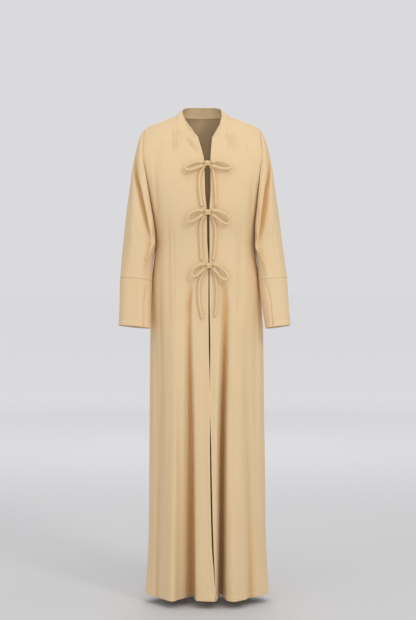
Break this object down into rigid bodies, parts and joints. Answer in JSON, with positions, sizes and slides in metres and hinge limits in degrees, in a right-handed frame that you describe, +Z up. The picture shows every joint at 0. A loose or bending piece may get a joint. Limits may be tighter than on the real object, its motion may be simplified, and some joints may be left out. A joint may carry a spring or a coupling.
{
  "type": "abaya cloak",
  "caption": "Full-length open-front abaya cloak in plain crepe with a stand collar, long deep sleeves with straight cuffs, and self-fabric bow ties down the front.",
  "frame": {"origin": "between the shoulders, at the height where the shoulder line meets the neck, where the wearer holds the cloak up", "axes": "+Z up, the front of the cloak faces -Y, +X is the wearer's left"},
  "size_m": [0.5174, 0.2825, 1.4891],
  "materials": {
    "crepe": "matt warm sand crepe",
    "tie_crepe": "matt warm sand crepe sewn as rouleau"
  },
  "bodies": {
    "root": {"front_right": "crepe", "front_left": "crepe", "back": "crepe", "sleeve_right": "crepe", "sleeve_left": "crepe", "cuff_right": "crepe", "cuff_left": "crepe", "collar": "crepe", "tie_top_knot": "tie_crepe", "tie_top_loop_right": "tie_crepe", "tie_top_loop_left": "tie_crepe", "tie_top_tail_right": "tie_crepe", "tie_top_tail_left": "tie_crepe", "tie_middle_knot": "tie_crepe", "tie_middle_loop_right": "tie_crepe", "tie_middle_loop_left": "tie_crepe", "tie_middle_tail_right": "tie_crepe", "tie_middle_tail_left": "tie_crepe", "tie_bottom_knot": "tie_crepe", "tie_bottom_loop_right": "tie_crepe", "tie_bottom_loop_left": "tie_crepe", "tie_bottom_tail_right": "tie_crepe", "tie_bottom_tail_left": "tie_crepe"}
  },
  "joints": []
}
